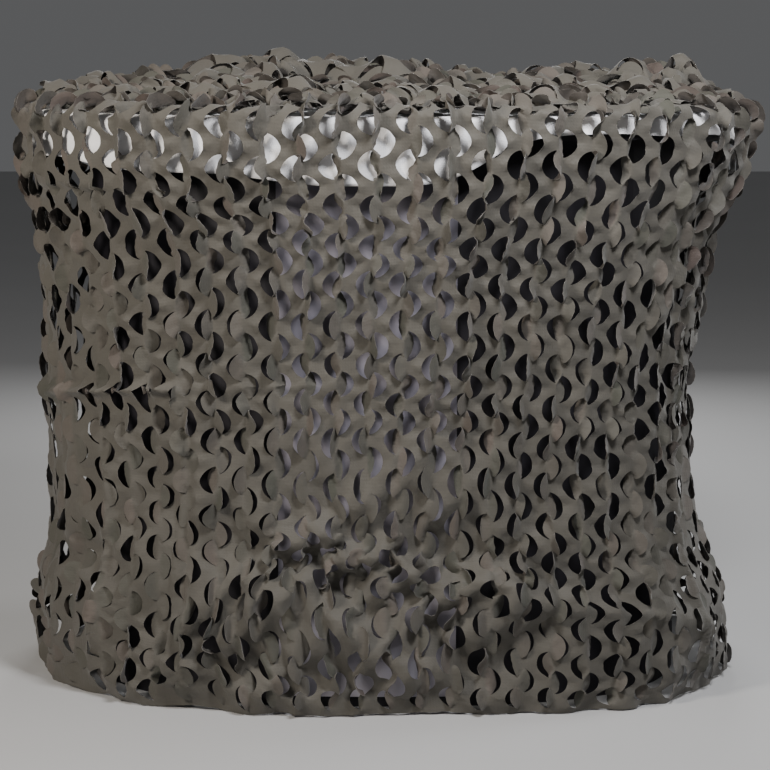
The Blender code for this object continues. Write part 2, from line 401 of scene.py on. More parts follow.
def cut_cell(rows, with_cut):
    """Mesh half a column of the cut pattern: one C, or plain cloth for the hem.

    Gives flat points in metres, triangles, each border point's lattice place and how far each
    point of the tongue is from its root.
    """
    width, height = CELL_WIDTH / 2, CELL_HEIGHT * rows / LATTICE
    columns = LATTICE // 2
    border = [(i, 0) for i in range(columns)] + [(columns, j) for j in range(rows)]
    border += [(columns - i, rows) for i in range(columns)] + [(0, rows - j) for j in range(rows)]
    fixed = [(i * width / columns, j * height / rows) for i, j in border]
    middle = (0.5 * width + 0.5 * CUT_RADIUS * (1 + math.cos(CUT_HALF_ANGLE)), 0.5 * height)
    ring = len(border)
    steps = CUT_STEPS if with_cut else -1
    turns = np.linspace(math.pi - CUT_HALF_ANGLE, math.pi + CUT_HALF_ANGLE, CUT_STEPS + 1)

    def arc(radius, angles):
        return [(middle[0] + radius * math.cos(a), middle[1] + radius * math.sin(a)) for a in angles]

    wanted = []
    if with_cut:
        fixed += arc(CUT_RADIUS, turns)
        wanted += arc(TONGUE_RING * CUT_RADIUS, np.linspace(turns[0], turns[-1], CUT_STEPS // 2 + 1))
        wanted += arc(OUTER_RING * CUT_RADIUS, np.linspace(turns[0], turns[-1], CUT_STEPS // 2 + 2))
    for row, y in enumerate(np.arange(0.6, 100, MESH_ROW) * MESH_SIZE):
        start = 0.45 if row % 2 else 0.9
        wanted += [(x, y) for x in np.arange(start, 100) * MESH_SIZE if x < width and y < height]
    free = []
    for point in wanted:
        inset = min(point[0], width - point[0], point[1], height - point[1])
        far = all(math.dist(point, other) > 0.5 * MESH_SIZE for other in fixed)
        if inset > 0.45 * MESH_SIZE and far:
            if all(math.dist(point, other) > 0.66 * MESH_SIZE for other in free):
                free.append(point)

    edges = [(i, (i + 1) % ring) for i in range(ring)]
    edges += [(ring + i, ring + i + 1) for i in range(steps)]
    made = delaunay_2d_cdt([Vector(point) for point in fixed + free], edges, [], 1, 1e-7)
    source = [origin[0] for origin in made[3]]
    points = [tuple(point) for point in made[0]]
    triangles = np.array(made[2])
    corners = np.array(points)[triangles]
    side = np.cross(corners[:, 1] - corners[:, 0], corners[:, 2] - corners[:, 0])
    triangles[side < 0] = triangles[side < 0][:, ::-1]
    lattice = [border[origin] if origin < ring else None for origin in source]

    centres = corners.mean(axis=1) - middle
    in_tongue = np.hypot(centres[:, 0], centres[:, 1]) < CUT_RADIUS
    on_cut = [k for k, origin in enumerate(source) if with_cut and ring <= origin <= ring + CUT_STEPS]
    tips = [k for k in on_cut if source[k] in (ring, ring + CUT_STEPS)]
    for k in [k for k in on_cut if k not in tips]:
        triangles[in_tongue[:, None] & (triangles == k)] = len(points)
        points.append(points[k])
        lattice.append(None)
    points = np.array(points)
    root = middle[0] - CUT_RADIUS * math.cos(CUT_HALF_ANGLE)
    away = points - middle
    inside = np.hypot(away[:, 0], away[:, 1]) < CUT_RADIUS * 1.001
    depth = np.where(inside & with_cut, np.maximum(root - points[:, 0], 0), 0)
    depth[on_cut] = 0
    return points, triangles, lattice, depth


C_CELL = cut_cell(LATTICE, True)
HEM_CELL = cut_cell(LATTICE // 2, False)
BORDER_PLACES = {place: k for k, place in enumerate(C_CELL[2]) if place}


class Sheet:
    """Flat cells of the cut pattern joined into one sheet, in cell units from its lower left."""

    def __init__(self, columns, rows, hem=False, wrap=None):
        self.points, self.depth, self.patch, self.cell = [], [], [], []
        self.places, triangles, owners = {}, [], []
        for column in range(columns):
            if hem and column % 2:
                triangles.append(self.add_cell(HEM_CELL, column, -1, 0, wrap))
                owners += [column] * len(triangles[-1])
            for row in range(rows):
                lift = LATTICE * row + (LATTICE // 2 if column % 2 else 0)
                triangles.append(self.add_cell(C_CELL, column, row, lift, wrap))
                owners += [column] * len(triangles[-1])
        self.triangles = np.concatenate(triangles)
        self.owners = np.array(owners)
        self.points = np.array(self.points)
        self.depth = np.array(self.depth)
        self.patch = np.array(self.patch)
        self.cell = np.array(self.cell)

    def add_cell(self, cell, column, row, lift, wrap):
        points, triangles, lattice, depth = cell
        mirrored = column % 2 == 1
        numbers = np.empty(len(points), int)
        half = LATTICE // 2
        for k, (x, y) in enumerate(points):
            across = CELL_WIDTH / 2 - x if mirrored else x
            place = (column / 2 + across / CELL_WIDTH, lift / LATTICE + y / CELL_HEIGHT)
            key = None
            if lattice[k]:
                i, j = lattice[k]
                key = (half * column + (half - i if mirrored else i), lift + j)
                if wrap:
                    key = (key[0] % (LATTICE * wrap), key[1] % (LATTICE * wrap))
                if key in self.places:
                    numbers[k] = self.places[key]
                    continue
                self.places[key] = len(self.points)
            numbers[k] = len(self.points)
            self.points.append(place)
            self.depth.append(depth[k])
            self.cell.append((column, row))
            self.patch.append((column % (2 * PATCH), row % PATCH, k) if row >= 0 else (-1, -1, -1))
        corners = numbers[triangles]
        return corners[:, ::-1] if mirrored else corners


# ---------------------------------------------------------------------------------------------
# Camouflage net, how its cuts open. Pulled sideways, the ribbons between the cuts hold the load
# and the tongues spring out of the cloth, some forward and some back, each by its own amount. A
# patch of cells is worked out and repeated: once as it hangs, once squashed up as on the top.
# ---------------------------------------------------------------------------------------------

RELAX_STEPS = 170
HOLD_STEPS = 50
LEAST_ANGLE = 25
ANGLE_SPREAD = 55
TONGUE_SKEW = 0.45
PLAIN_BEND = 0.18
CURLED_BEND = 0.3
FIRST_PUSH = 0.1
FIRST_WAVE = 0.001
FIRST_ROUGHNESS = 0.0006
COASTING = 0.92


def share_out(pairs, count):
    """Sort pairs into groups in which no point comes twice."""
    taken = [0] * count
    group = []
    for first, second in pairs.tolist():
        busy = taken[first] | taken[second]
        number = (~busy & (busy + 1)).bit_length() - 1
        taken[first] |= 1 << number
        taken[second] |= 1 << number
        group.append(number)
    group = np.array(group)
    return [np.flatnonzero(group == number) for number in range(group.max() + 1)]


class Patch:
    """A repeating square of cells whose cloth keeps its lengths while it is pulled or squashed."""

    def __init__(self):
        self.sheet = Sheet(2 * PATCH, PATCH, wrap=PATCH)
        self.size = np.array([CELL_WIDTH, CELL_HEIGHT]) * PATCH
        self.flat = self.sheet.points * (CELL_WIDTH, CELL_HEIGHT)
        facing = {}
        for triangle in self.sheet.triangles.tolist():
            for turn in range(3):
                first, second, third = triangle[turn:] + triangle[:turn]
                facing.setdefault((min(first, second), max(first, second)), []).append(third)
        self.edges = np.array(list(facing))
        self.bends = np.array([pair for pair in facing.values() if len(pair) == 2])
        index = {tuple(key): k for k, key in enumerate(self.sheet.patch.tolist())}
        self.numbers = np.full((2 * PATCH, PATCH, len(C_CELL[0])), -1)
        for key, k in index.items():
            self.numbers[key] = k
        for key, k in self.sheet.places.items():
            self.fill(key, k)

    def fill(self, key, number):
        """Note a border point under every cell that shares it."""
        half = LATTICE // 2
        for column in range(2 * PATCH):
            mirrored = column % 2 == 1
            i = (key[0] - half * column) % (LATTICE * PATCH)
            if i > half:
                continue
            i = half - i if mirrored else i
            lift = half if mirrored else 0
            for row in range(PATCH):
                j = (key[1] - LATTICE * row - lift) % (LATTICE * PATCH)
                if j <= LATTICE:
                    self.numbers[column, row, BORDER_PLACES[(i, j)]] = number

    def opened(self, seed, widths, heights, openings, forward, pull, plane, ripple, curl):
        """Work out the patch at each width, and give how far its points leave the flat lattice."""
        rng = np.random.default_rng(seed)
        sheet, depth, flat = self.sheet, self.sheet.depth, self.flat
        cells = sheet.cell[:, 0] * PATCH + sheet.cell[:, 1]
        count = 2 * PATCH * PATCH
        side = np.where(rng.random(count) < forward, 1.0, -1.0)[cells]
        angle = np.radians(LEAST_ANGLE + ANGLE_SPREAD * rng.beta(2.0, 2.0, count))[cells]
        skew = rng.uniform(-1, 1, count)[cells]
        middle = (sheet.cell[:, 1] + 0.5 + 0.5 * (sheet.cell[:, 0] % 2)) * CELL_HEIGHT
        push = side * depth * (1 + TONGUE_SKEW * skew * (flat[:, 1] - middle) / CUT_RADIUS)
        in_tongue = depth > 0

        waves = np.zeros(len(flat))
        for _ in range(14):
            way = 2 * math.pi * rng.integers(-5, 6, 2) / self.size
            waves += rng.normal() * np.sin(flat @ way + rng.uniform(0, 2 * math.pi))
        waves /= np.abs(waves).max()

        ties, soft_ties = [], 0
        for pairs, is_edge in ((self.bends, False), (self.edges, True)):
            gap = flat[pairs[:, 1]] - flat[pairs[:, 0]]
            turn = -np.round(gap / self.size)
            length = np.hypot(*(gap + turn * self.size).T)
            stiff = np.ones(len(pairs))
            if not is_edge:
                curled = in_tongue[pairs].all(axis=1)
                length = length * np.where(curled, 1 - curl * angle[pairs[:, 0]], 1)
                stiff = np.where(curled, CURLED_BEND, PLAIN_BEND)
            for group in share_out(pairs, len(flat)):
                ties.append((pairs[group].T, turn[group], length[group], 0.5 * stiff[group]))
            firm = ties[soft_ties:]
            soft_ties = len(ties)

        rough = rng.normal(0, FIRST_ROUGHNESS, len(flat))
        place = np.column_stack([flat, FIRST_PUSH * push + FIRST_WAVE * waves + rough])
        speed = np.zeros_like(place)
        size = self.size.copy()
        stages = []
        for before, after in zip(range(len(widths) - 1), range(1, len(widths))):
            for step in range(RELAX_STEPS):
                share = min(1, (step + 1) / (RELAX_STEPS - HOLD_STEPS))
                width, height, opening = (
                    values[before] + (values[after] - values[before]) * share
                    for values in (widths, heights, openings)
                )
                wanted = self.size * (width, height)
                place[:, :2] *= wanted / size
                size = wanted
                start = place.copy()
                place += COASTING * speed
                goal = push * np.sin(angle * opening)
                rest = np.where(in_tongue, pull * (goal - place[:, 2]), -plane * place[:, 2])
                place[:, 2] += rest + ripple * waves
                for (first, second), turn, length, stiff in ties + firm:
                    gap = place[second] - place[first]
                    gap[:, :2] += turn * size
                    reach = np.sqrt((gap * gap).sum(axis=1))
                    shift = ((reach - length) / reach * stiff)[:, None] * gap
                    place[first] += shift
                    place[second] -= shift
                speed = place - start
            leave = place.copy()
            leave[:, :2] = leave[:, :2] / size * PATCH - sheet.points
            stages.append(leave)
        return stages


# ---------------------------------------------------------------------------------------------
# Camouflage net, its drape. It falls from the rim to the floor, drawn in at the waist and flared
# at the foot, squarer at its right end. A ridge where it was packed runs round its left side,
# its columns gather towards the front's foot, and its ends hang lower than its middle.
# ---------------------------------------------------------------------------------------------

NET_OVERHANG = 0.032
NET_RIM_RADIUS = 0.017
NET_RIM_RISE = 0.023
NET_EXPONENT_LEFT = 2.3
NET_EXPONENT_RIGHT = 3.0
NET_PROFILE = (  # height, drawn in from the rim at the left end, at the right end, front and back
    (0.000, 0.026, 0.038, 0.008),
    (0.050, 0.018, 0.030, 0.000),
    (0.150, 0.017, 0.044, 0.002),
    (0.280, 0.042, 0.086, 0.018),
    (0.400, 0.041, 0.107, 0.027),
    (0.600, 0.034, 0.107, 0.030),
    (0.730, 0.038, 0.092, 0.026),
    (0.850, 0.027, 0.072, 0.018),
    (0.960, 0.006, 0.024, 0.006),
    (1.070, 0.000, 0.000, 0.000),
)
NET_FOLDS = (  # start bearing, start height, end bearing, end height, how proud, half-width
    (-140, 0.536, -80, 0.548, 0.008, 0.009),
    (-74, 0.550, -34, 0.590, 0.017, 0.0075),
    (-34, 0.590, -6, 0.606, 0.006, 0.009),
    (16, 0.215, 62, 0.130, 0.012, 0.022),
    (-27, 0.050, -26, 0.540, 0.012, 0.022),
    (-70, 0.020, -62, 0.430, 0.010, 0.045),
    (-51, 0.060, -49, 0.440, 0.011, 0.012),
    (-31, 0.080, -30, 0.560, 0.008, 0.010),
    (58, 0.050, 60, 0.900, 0.011, 0.013),
    (-8, 0.030, -14, 0.330, 0.012, 0.035),
    (9, 0.020, 5, 0.260, -0.010, 0.035),
    (34, 0.000, 40, 0.220, 0.012, 0.040),
    (58, 0.900, 66, 0.300, -0.010, 0.050),
    (-160, 0.020, -166, 0.700, 0.012, 0.045),
    (150, 0.010, 144, 0.500, 0.012, 0.050),
    (176, 0.300, 128, 0.330, 0.010, 0.025),
)
NET_HUMPS = (  # right of the middle, behind the middle, rise above the rim, half-width
    (-0.30, 0.10, 0.046, 0.15),
    (-0.10, 0.20, 0.036, 0.14),
    (0.04, 0.06, 0.038, 0.10),
    (-0.52, 0.00, 0.016, 0.12),
    (-0.20, -0.22, 0.016, 0.12),
    (0.32, 0.12, 0.029, 0.13),
    (0.50, 0.02, 0.036, 0.11),
    (0.26, -0.20, 0.012, 0.10),
    (0.57, 0.00, 0.030, 0.09),
    (0.73, 0.00, -0.012, 0.10),
)
NET_TOP_LIFT = 0.002
MEAN_INSET = 0.029
RIM_SAGS = ((math.radians(93), 0.019), (math.radians(-93), 0.008))
RIM_SAG_WIDTH = 0.62
RIM_SAG_FOOT = 0.90
RIM_SAG_FADE = 0.18
rim_half_width = board_high[0] + NET_OVERHANG
rim_half_depth = board_high[1] + NET_OVERHANG
rim_height = board_high[2] + NET_RIM_RISE
hang_height = rim_height - NET_RIM_RADIUS
net_low, net_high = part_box("camo_net")


def wrapped(angle):
    """The same direction as an angle, from half a turn left to half a turn right."""
    return (angle + math.pi) % (2 * math.pi) - math.pi


def fold_height(bearing, height):
    """How far the folds of the net lift it out of its smooth drape."""
    lift = np.zeros(np.broadcast(bearing, height).shape)
    radius = 0.5 * (rim_half_width + rim_half_depth) - MEAN_INSET
    for start, start_height, end, end_height, proud, half_width in NET_FOLDS:
        run = np.array([math.radians(end - start) * radius, end_height - start_height])
        length = math.hypot(*run)
        run /= length
        turn = wrapped(bearing - math.radians(start))
        along = turn * radius * run[0] + (height - start_height) * run[1]
        aside = turn * radius * run[1] - (height - start_height) * run[0]
        beyond = np.maximum(np.maximum(-along, along - length), 0)
        lift = lift + proud * np.exp(-((aside / half_width) ** 2) - (beyond / (2 * half_width)) ** 2)
    return lift


def net_plan(bearing, height):
    """Plan point of the net's smooth drape at a height of its skirt."""
    right = 0.5 + 0.5 * np.sin(bearing)
    left_inset = smooth_table(height, NET_PROFILE, 1)
    right_inset = smooth_table(height, NET_PROFILE, 2)
    half_depth = rim_half_depth - smooth_table(height, NET_PROFILE, 3)
    half_width = rim_half_width - left_inset - (right_inset - left_inset) * right
    exponent = NET_EXPONENT_LEFT + (NET_EXPONENT_RIGHT - NET_EXPONENT_LEFT) * right
    return oval(bearing, half_width, half_depth, exponent)


def net_hump(x, y):
    """Rise of the crumpled net above its rim, over the counter's top."""
    rise = np.zeros(np.shape(x))
    for hump_x, hump_y, height, half_width in NET_HUMPS:
        away = ((x - hump_x) ** 2 + (y - hump_y) ** 2) / half_width**2
        rise = rise + height * np.exp(-away)
    return rise


def rim_sag(bearing):
    """How far the rim hangs lower, towards its right end and a little at its left end."""
    sag = 0
    for at, most in RIM_SAGS:
        sag = sag + most * np.exp(-((wrapped(bearing - at) / RIM_SAG_WIDTH) ** 2))
    return sag


def net_surface(bearing, climb):
    """Point of the net's middle surface, by how far up the cloth it is from the floor."""
    height = np.minimum(climb, hang_height)
    x, y = net_plan(bearing, height)
    lift = fold_height(bearing, height) * np.clip((hang_height - height) / NET_RIM_RADIUS, 0, 1)
    turn = np.clip((climb - hang_height) / NET_RIM_RADIUS, 0, 0.5 * math.pi)
    flat = np.maximum(climb - hang_height - 0.5 * math.pi * NET_RIM_RADIUS, 0)
    reach = 1 + (lift - NET_RIM_RADIUS * (1 - np.cos(turn)) - flat) / np.hypot(x, y)
    rise = height + NET_RIM_RADIUS * np.sin(turn)
    return np.stack([x * reach, y * reach, rise], axis=-1)


def surface_normal(bearing, climb):
    """Outward unit normal of the net's middle surface."""
    step = 0.003
    around = net_surface(bearing + step, climb) - net_surface(bearing - step, climb)
    upward = net_surface(bearing, climb + step) - net_surface(bearing, climb - step)
    normal = np.cross(around, upward)
    return normal / np.linalg.norm(normal, axis=1, keepdims=True)


# ---------------------------------------------------------------------------------------------
# Camouflage net, its skirt. The part that hangs, with its cut hem on the floor and its top rows
# turned over the rim, made as four lengths that meet column to column.
# ---------------------------------------------------------------------------------------------

SKIRT_LENGTHS = ("net_left_end", "net_front", "net_right_end", "net_back")
SKIRT_COLUMNS = 56
SKIRT_ROWS = 19
COLUMN_CROWD = 0.009
CROWD_PHASE = 0.9
CLOTH_ROOM = 0.0155
BODY_ROOM = 0.002
GATHER = 0.068
GATHER_BEARING = math.radians(-13)
GATHER_HALF_WIDTH = math.radians(22)
END_DROP = 0.090
END_DROP_FADE = 0.40
RIM_ROOM = 0.016
SKIRT_ROOM = 0.026
BUNCHED_ROOM = 0.016
SKIRT_DRIFT = 0.08
SKIRT_BILLOW = 0.0026
HEM_HEIGHT = 0.07
HEM_WAVE = 0.0050
HEM_LIFT = 0.0022
MEAN_RADIUS = 0.55
BASE_OPENNESS = 0.60
MOST_OPEN = 1.15
SKIRT_CLIMB = (  # row from the hem, how far up the cloth it comes
    (0.0, 0.000),
    (4.0, 0.258),
    (8.0, 0.535),
    (12.0, 0.822),
    (15.4, 1.070),
    (16.0, 1.117),
    (19.5, 1.360),
)
OPENNESS = (  # bearing, height, how much more open than the rest (0 shut, 1 wide), half-width
    (-60, 1.08, 0.42, 0.22),
    (-25, 1.08, 0.25, 0.16),
    (0, 1.08, 0.48, 0.24),
    (25, 1.08, 0.20, 0.14),
    (60, 1.08, 0.38, 0.22),
    (-88, 0.40, -0.75, 0.28),
    (-90, 0.75, -0.35, 0.22),
    (92, 0.50, -0.50, 0.26),
    (-14, 0.75, 0.20, 0.25),
    (35, 0.60, 0.12, 0.40),
    (32, 0.24, 0.22, 0.17),
    (64, 0.14, -0.75, 0.19),
    (-64, 0.12, -0.45, 0.16),
    (-40, 0.02, 0.20, 0.10),
    (0, 0.02, 0.35, 0.12),
    (28, 0.02, 0.30, 0.10),
    (-68, 0.30, -0.15, 0.30),
    (-90, 0.12, -0.45, 0.22),
    (92, 0.14, -0.75, 0.24),
    (100, 0.60, -0.30, 0.30),
    (-84, 1.11, 0.60, 0.15),
    (-48, 1.10, 0.45, 0.13),
    (84, 1.09, 0.35, 0.15),
    (-29, 0.32, -0.60, 0.13),
    (-22, 0.62, -0.20, 0.10),
    (15, 0.15, -0.10, 0.20),
    (120, 0.70, -0.10, 0.30),
    (122, 0.15, -0.50, 0.30),
    (-122, 0.15, -0.45, 0.30),
    (180, 0.40, -0.20, 0.40),
    (-120, 0.70, -0.10, 0.30),
)
CRUMPLING = (  # bearing, height, how bunched up (0 smooth, 1 all anyhow), half-width
    (-18, 0.14, 0.60, 0.15),
    (3, 0.20, 0.95, 0.18),
    (-4, 0.40, 0.35, 0.12),
    (-92, 0.10, 0.45, 0.15),
    (84, 0.20, 0.15, 0.12),
    (-98, 0.62, 0.20, 0.26),
    (-56, 0.33, 0.45, 0.13),
    (97, 0.72, 0.25, 0.24),
    (-150, 0.12, 0.60, 0.18),
    (170, 0.20, 0.50, 0.16),
    (125, 0.10, 0.60, 0.18),
)
NET_THICKNESS = 0.0009
fine_bearing = np.linspace(-math.pi, math.pi, 4001)
fine_x, fine_y = net_plan(fine_bearing, np.full(4001, hang_height))
fine_length = np.concatenate([[0], np.cumsum(np.hypot(np.diff(fine_x), np.diff(fine_y)))])
rim_length = fine_length[-1]


def share_bearing(share):
    """Bearing at a share of the way round the rim, which starts at the back."""
    share = share + COLUMN_CROWD * (np.sin(2 * math.pi * share - CROWD_PHASE) + math.sin(CROWD_PHASE))
    whole = np.floor(share)
    return np.interp((share - whole) * rim_length, fine_length, fine_bearing) + 2 * math.pi * whole


def skirt_point(column, row):
    """Bearing and climb of a place on the skirt's flat sheet."""
    share = column / SKIRT_COLUMNS + 0.125
    climb = smooth_table(row, SKIRT_CLIMB, 1)
    hang = np.clip(1 - climb / hang_height, 0, 1)
    from_gather = wrapped(share_bearing(share) - GATHER_BEARING)
    gather = -GATHER * np.tanh(from_gather / GATHER_HALF_WIDTH) * np.cos(0.5 * from_gather)
    bearing = share_bearing(share + gather * hang / rim_length)
    end_drop = END_DROP * 0.5 * (1 - np.cos(from_gather)) * (1 + 0.3 * np.sin(bearing))
    foot = np.clip(climb / END_DROP_FADE, 0, 1)
    return bearing, climb - end_drop * foot * foot * (3 - 2 * foot)


def by_place(bearing, climb, start, places):
    """A value that is more or less than its start at some places of the skirt."""
    value = np.full(len(bearing), start)
    for at, height, more, half_width in places:
        away = (wrapped(bearing - math.radians(at)) * MEAN_RADIUS) ** 2 + (climb - height) ** 2
        value += more * np.exp(-away / half_width**2)
    return value


# Painted highlight: the net's thin cut edges are coloured paler, standing in for the light they catch.
CUT_EDGE_HIGHLIGHT = (0.19, 0.172, 0.148, 1)
TINT_SPREAD = 0.24


def net_cloth(name, colours, weathered):
    """Coated garnish cloth: matt, finely woven, each tongue a little different in colour, with a
    painted highlight on its cut edges.
    """
    finish = Finish(name, Metallic=0.0, Sheen_Weight=0.12, Sheen_Roughness=0.6, Specular_IOR_Level=0.35)
    tint = finish.node("ShaderNodeAttribute", {"attribute_name": "tint"}, output="Fac")
    stops = [(0.0, colours[0]), (0.5, colours[1]), (1.0, colours[2])]
    base = finish.node("ShaderNodeValToRGB", {"stops": stops}, {"Fac": tint})
    cloud = finish.noise(7.0, detail=4.0)
    colour = finish.mix((cloud - 0.35) * 1.1, base, (*weathered, 1))
    cut_edge = finish.node("ShaderNodeAttribute", {"attribute_name": "cut_edge"}, output="Fac")
    # Painted highlight on the cut edges.
    colour = finish.mix(cut_edge, colour, CUT_EDGE_HIGHLIGHT)
    crease = finish.noise(75.0, detail=3.0)
    relief = finish.bump(crease, 0.0016, 0.55)
    relief = finish.bump(weave(finish, 1100.0), 0.0003, 0.5, relief)
    return finish.feed(Base_Color=colour, Roughness=crease * 0.16 + 0.62, Normal=relief)


net_face = net_cloth(
    "net_face",
    colours=((0.052, 0.053, 0.041), (0.078, 0.072, 0.060), (0.104, 0.086, 0.073)),
    weathered=(0.060, 0.054, 0.043),
)
net_reverse = net_cloth(
    "net_reverse",
    colours=((0.046, 0.043, 0.037), (0.060, 0.050, 0.042), (0.076, 0.055, 0.046)),
    weathered=(0.052, 0.045, 0.038),
)


def clear_of(points, corner, room, bottom):
    """Move points out of the oval that reaches to a corner, with some room round it."""
    share = (np.abs(points[:, :2]) / (np.array(corner[:2]) + room)) ** COUNTER_EXPONENT
    reach = share.sum(axis=1) ** (1 / COUNTER_EXPONENT)
    inside = (reach < 1) & (points[:, 2] > bottom) & (points[:, 2] < corner[2])
    points[inside, :2] /= reach[inside, None]
    return points


def sheet_normals(sheet, points):
    """Unit normal at each point, from the triangles around it, also across where a round closes."""
    corners = points[sheet.triangles]
    facing = np.cross(corners[:, 1] - corners[:, 0], corners[:, 2] - corners[:, 0])
    normals = np.zeros_like(points)
    for corner in range(3):
        np.add.at(normals, sheet.triangles[:, corner], facing)
    last = LATTICE * SKIRT_COLUMNS
    for (column, row), number in sheet.places.items():
        twin = sheet.places.get((last, row))
        if column == 0 and twin is not None:
            normals[[number, twin]] = normals[number] + normals[twin]
    return normals / np.linalg.norm(normals, axis=1, keepdims=True).clip(1e-12)


def net_piece(name, sheet, points, normals, columns):
    """Make the part of a laid sheet that is in some of its columns, as a thin closed layer."""
    triangles = sheet.triangles[(sheet.owners >= columns[0]) & (sheet.owners < columns[1])]
    used, triangles = np.unique(triangles, return_inverse=True)
    triangles = triangles.reshape(-1, 3)
    count = len(used)
    edges = np.concatenate([triangles[:, [0, 1]], triangles[:, [1, 2]], triangles[:, [2, 0]]])
    ways = set(map(tuple, edges.tolist()))
    rim = [(a, b) for a, b in ways if (b, a) not in ways]
    half = 0.5 * NET_THICKNESS * normals[used]
    faces = triangles.tolist() + (triangles[:, ::-1] + count).tolist()
    faces += [(b, a, a + count, b + count) for a, b in sorted(rim)]
    flat = sheet.points[used] * (CELL_WIDTH, CELL_HEIGHT)
    both = np.vstack([points[used] + half, points[used] - half])
    piece = new_piece(name, both, faces, [net_face, net_reverse], np.vstack([flat, flat]))
    side = np.zeros(len(faces), int)
    side[len(triangles) : 2 * len(triangles)] = 1
    piece.data.polygons.foreach_set("material_index", side)
    piece.data.normals_split_custom_set_from_vertices(np.vstack([normals[used], -normals[used]]))
    tints = np.random.default_rng(8).normal(0.5, TINT_SPREAD, (4 * SKIRT_COLUMNS, 2 * SKIRT_ROWS))
    tint = np.where(sheet.depth > 0, tints[sheet.cell[:, 0], sheet.cell[:, 1]], 0.5)[used]
    data = piece.data.attributes.new("tint", "FLOAT", "POINT")
    data.data.foreach_set("value", np.clip(np.concatenate([tint, tint]), 0, 1))
    # Marks the cut-edge faces, on which the net's material paints a highlight.
    data = piece.data.attributes.new("cut_edge", "FLOAT", "FACE")
    data.data.foreach_set("value", np.arange(len(faces)) >= 2 * len(triangles))
    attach(piece, "root")
    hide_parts("camo_net")
    return piece


def spread(sheet, leave):
    """Give plain hem cloth the offsets of the cloth around it."""
    loose = sheet.patch[:, 0] < 0
    ends = np.concatenate([sheet.triangles, np.roll(sheet.triangles, 1, axis=1)]).reshape(-1)
    mates = np.concatenate([np.roll(sheet.triangles, 1, axis=1), sheet.triangles]).reshape(-1)
    for _ in range(12):
        total = np.zeros_like(leave)
        np.add.at(total, ends, leave[mates])
        count = np.bincount(ends, minlength=len(leave))[:, None]
        leave[loose] = (total / count)[loose]
    return leave


def taken(sheet, stage):
    """Offsets of a sheet's points from one stage of the patch."""
    known = sheet.patch[:, 0] >= 0
    leave = np.zeros((len(sheet.points), 3))
    leave[known] = stage[patch.numbers[tuple(sheet.patch[known].T)]]
    return spread(sheet, leave) if not known.all() else leave


patch = Patch()
shut, ajar, wide = patch.opened(
    seed=3,
    widths=(1.0, 1.03, 1.09, 1.20),
    heights=(1.0, 0.985, 0.96, 0.915),
    openings=(0.0, 0.40, 0.75, 1.15),
    forward=0.60,
    pull=0.06,
    plane=0.004,
    ripple=0.00003,
    curl=0.03,
)
(crumpled,) = patch.opened(
    seed=5,
    widths=(1.0, 0.84),
    heights=(1.0, 0.84),
    openings=(0.0, 1.1),
    forward=0.60,
    pull=0.03,
    plane=0.0005,
    ripple=0.0002,
    curl=0.02,
)


def lay_skirt():
    """Lay the skirt over the drape, and make it up in its lengths."""
    sheet = Sheet(2 * SKIRT_COLUMNS, SKIRT_ROWS, hem=True)
    column, row = sheet.points.T
    bearing, climb = skirt_point(column, row)
    amount = np.clip(by_place(bearing, climb, BASE_OPENNESS, OPENNESS), 0, MOST_OPEN)[:, None]
    stages = [taken(sheet, stage) for stage in (shut, ajar, wide, crumpled)]
    lower = np.clip(2 * amount, 0, 1)
    upper = np.clip(2 * amount - 1, 0, None)
    leave = stages[0] + (stages[1] - stages[0]) * lower + (stages[2] - stages[1]) * upper
    bunched = np.clip(by_place(bearing, climb, 0.0, CRUMPLING), 0, 1)
    leave += (stages[3] - leave) * bunched[:, None]
    round_rim = np.stack([0.6 * np.sin(bearing), 0.6 * np.cos(bearing), climb], axis=1)
    unrest = 1 + 1.2 * np.clip(1 - climb / 0.35, 0, 1) + 1.2 * bunched
    drift = SKIRT_DRIFT * unrest
    column = column + leave[:, 0] + drift * soft_waves(round_rim, 0.28, 12, 21)
    row = row + leave[:, 1] + drift * soft_waves(round_rim, 0.24, 12, 22) * np.clip(row, 0, 1)
    bearing, climb = skirt_point(column, np.maximum(row, 0))
    out = leave[:, 2] + SKIRT_BILLOW * unrest * soft_waves(round_rim, 0.15, 14, 23)
    at_hem = np.clip(1 - climb / HEM_HEIGHT, 0, 1)
    out += HEM_WAVE * at_hem * soft_waves(round_rim, 0.09, 12, 24)
    climb = climb + HEM_LIFT * at_hem * (1 + np.tanh(soft_waves(round_rim, 0.12, 12, 25)))
    room = np.where(climb > RIM_SAG_FOOT, RIM_ROOM, SKIRT_ROOM + BUNCHED_ROOM * bunched)
    out = np.where(out < 0, -room * np.tanh(-out / room), out)
    points = net_surface(bearing, climb) + out[:, None] * surface_normal(bearing, climb)
    near_rim = np.clip((points[:, 2] - RIM_SAG_FOOT) / RIM_SAG_FADE, 0, 1)
    points[:, 2] -= rim_sag(bearing) * near_rim
    points[:, 2] = np.maximum(points[:, 2], 0.5 * NET_THICKNESS)
    points[:, :2] += net_middle
    points = clear_of(points, board_high, CLOTH_ROOM, board_low[2] - 1.2 * mean_drop)
    points = clear_of(points, (body_high[0], -panel_low[1], body_high[2]), BODY_ROOM, 0)
    normals = sheet_normals(sheet, points)
    columns = 2 * SKIRT_COLUMNS // len(SKIRT_LENGTHS)
    for number, name in enumerate(SKIRT_LENGTHS):
        piece = net_piece(name, sheet, points, normals, (number * columns, (number + 1) * columns))


around, upward = np.meshgrid(fine_bearing, np.linspace(0, hang_height, 60))
drape = net_surface(around.ravel(), upward.ravel())[:, :2]
net_middle = 0.5 * (np.add(net_low, net_high)[:2] - drape.max(axis=0) - drape.min(axis=0))
lay_skirt()

# ---------------------------------------------------------------------------------------------
# Camouflage net, its spare cloth. What is left over lies crumpled on the counter's top, in humps
# that are highest left of the middle, with its tongues standing every way.
# ---------------------------------------------------------------------------------------------

